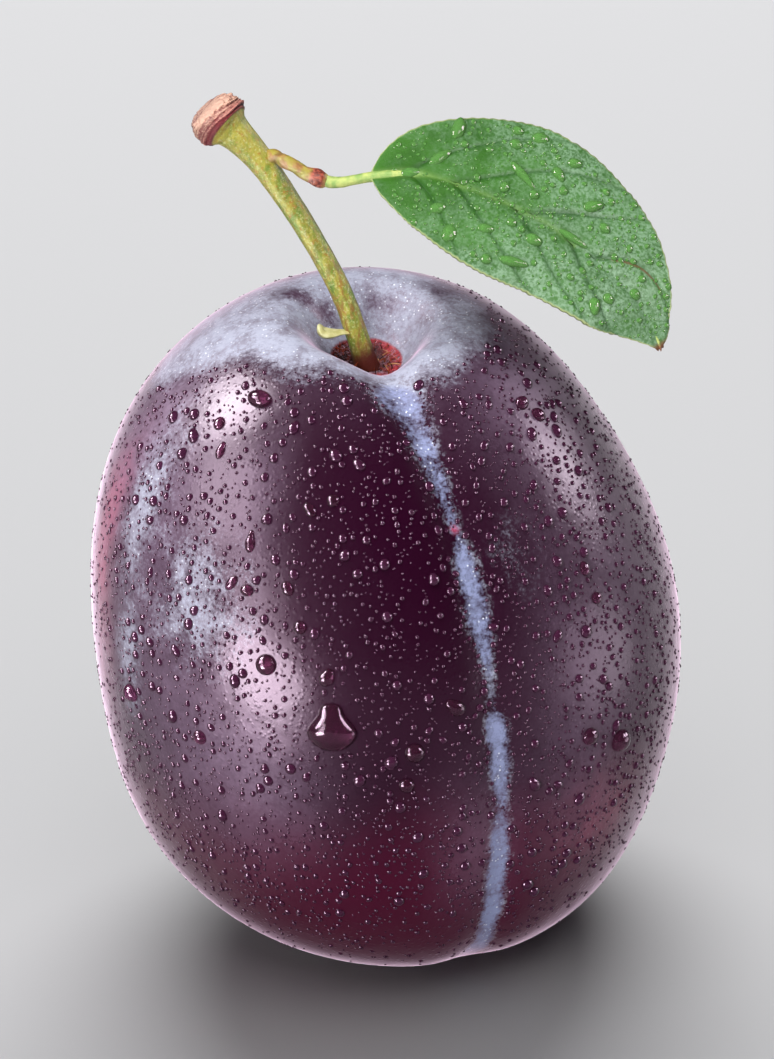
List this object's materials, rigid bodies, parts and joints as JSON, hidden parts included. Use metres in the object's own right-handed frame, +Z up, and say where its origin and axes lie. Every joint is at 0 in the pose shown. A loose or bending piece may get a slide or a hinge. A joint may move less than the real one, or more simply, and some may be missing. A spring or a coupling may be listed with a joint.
{
  "type": "plum",
  "caption": "Ripe oval European plum with its seam, a stalk that carries a side shoot and a leaf, and dew, standing upright on the flat tip of its base.",
  "frame": {"origin": "where the fruit's axis meets the small flat spot that it stands on, 2 mm to -X of the spot's middle", "axes": "+Z up along the fruit's axis from its tip to the stalk cavity; the suture faces -Y and a little to +X; the leaf lies to +X"},
  "size_m": [0.0421, 0.0424, 0.0643],
  "materials": {
    "skin": "thin glossy purple skin under a blue-white wax bloom",
    "stalk": "green stalk going woody, mottled orange and brown",
    "bract": "thin dry scale",
    "leaf": "wet green leaf with a paler midrib and margin"
  },
  "bodies": {
    "root": {"fruit": "skin", "stem": "stalk", "bract": "bract", "leaf": "leaf"}
  },
  "joints": []
}
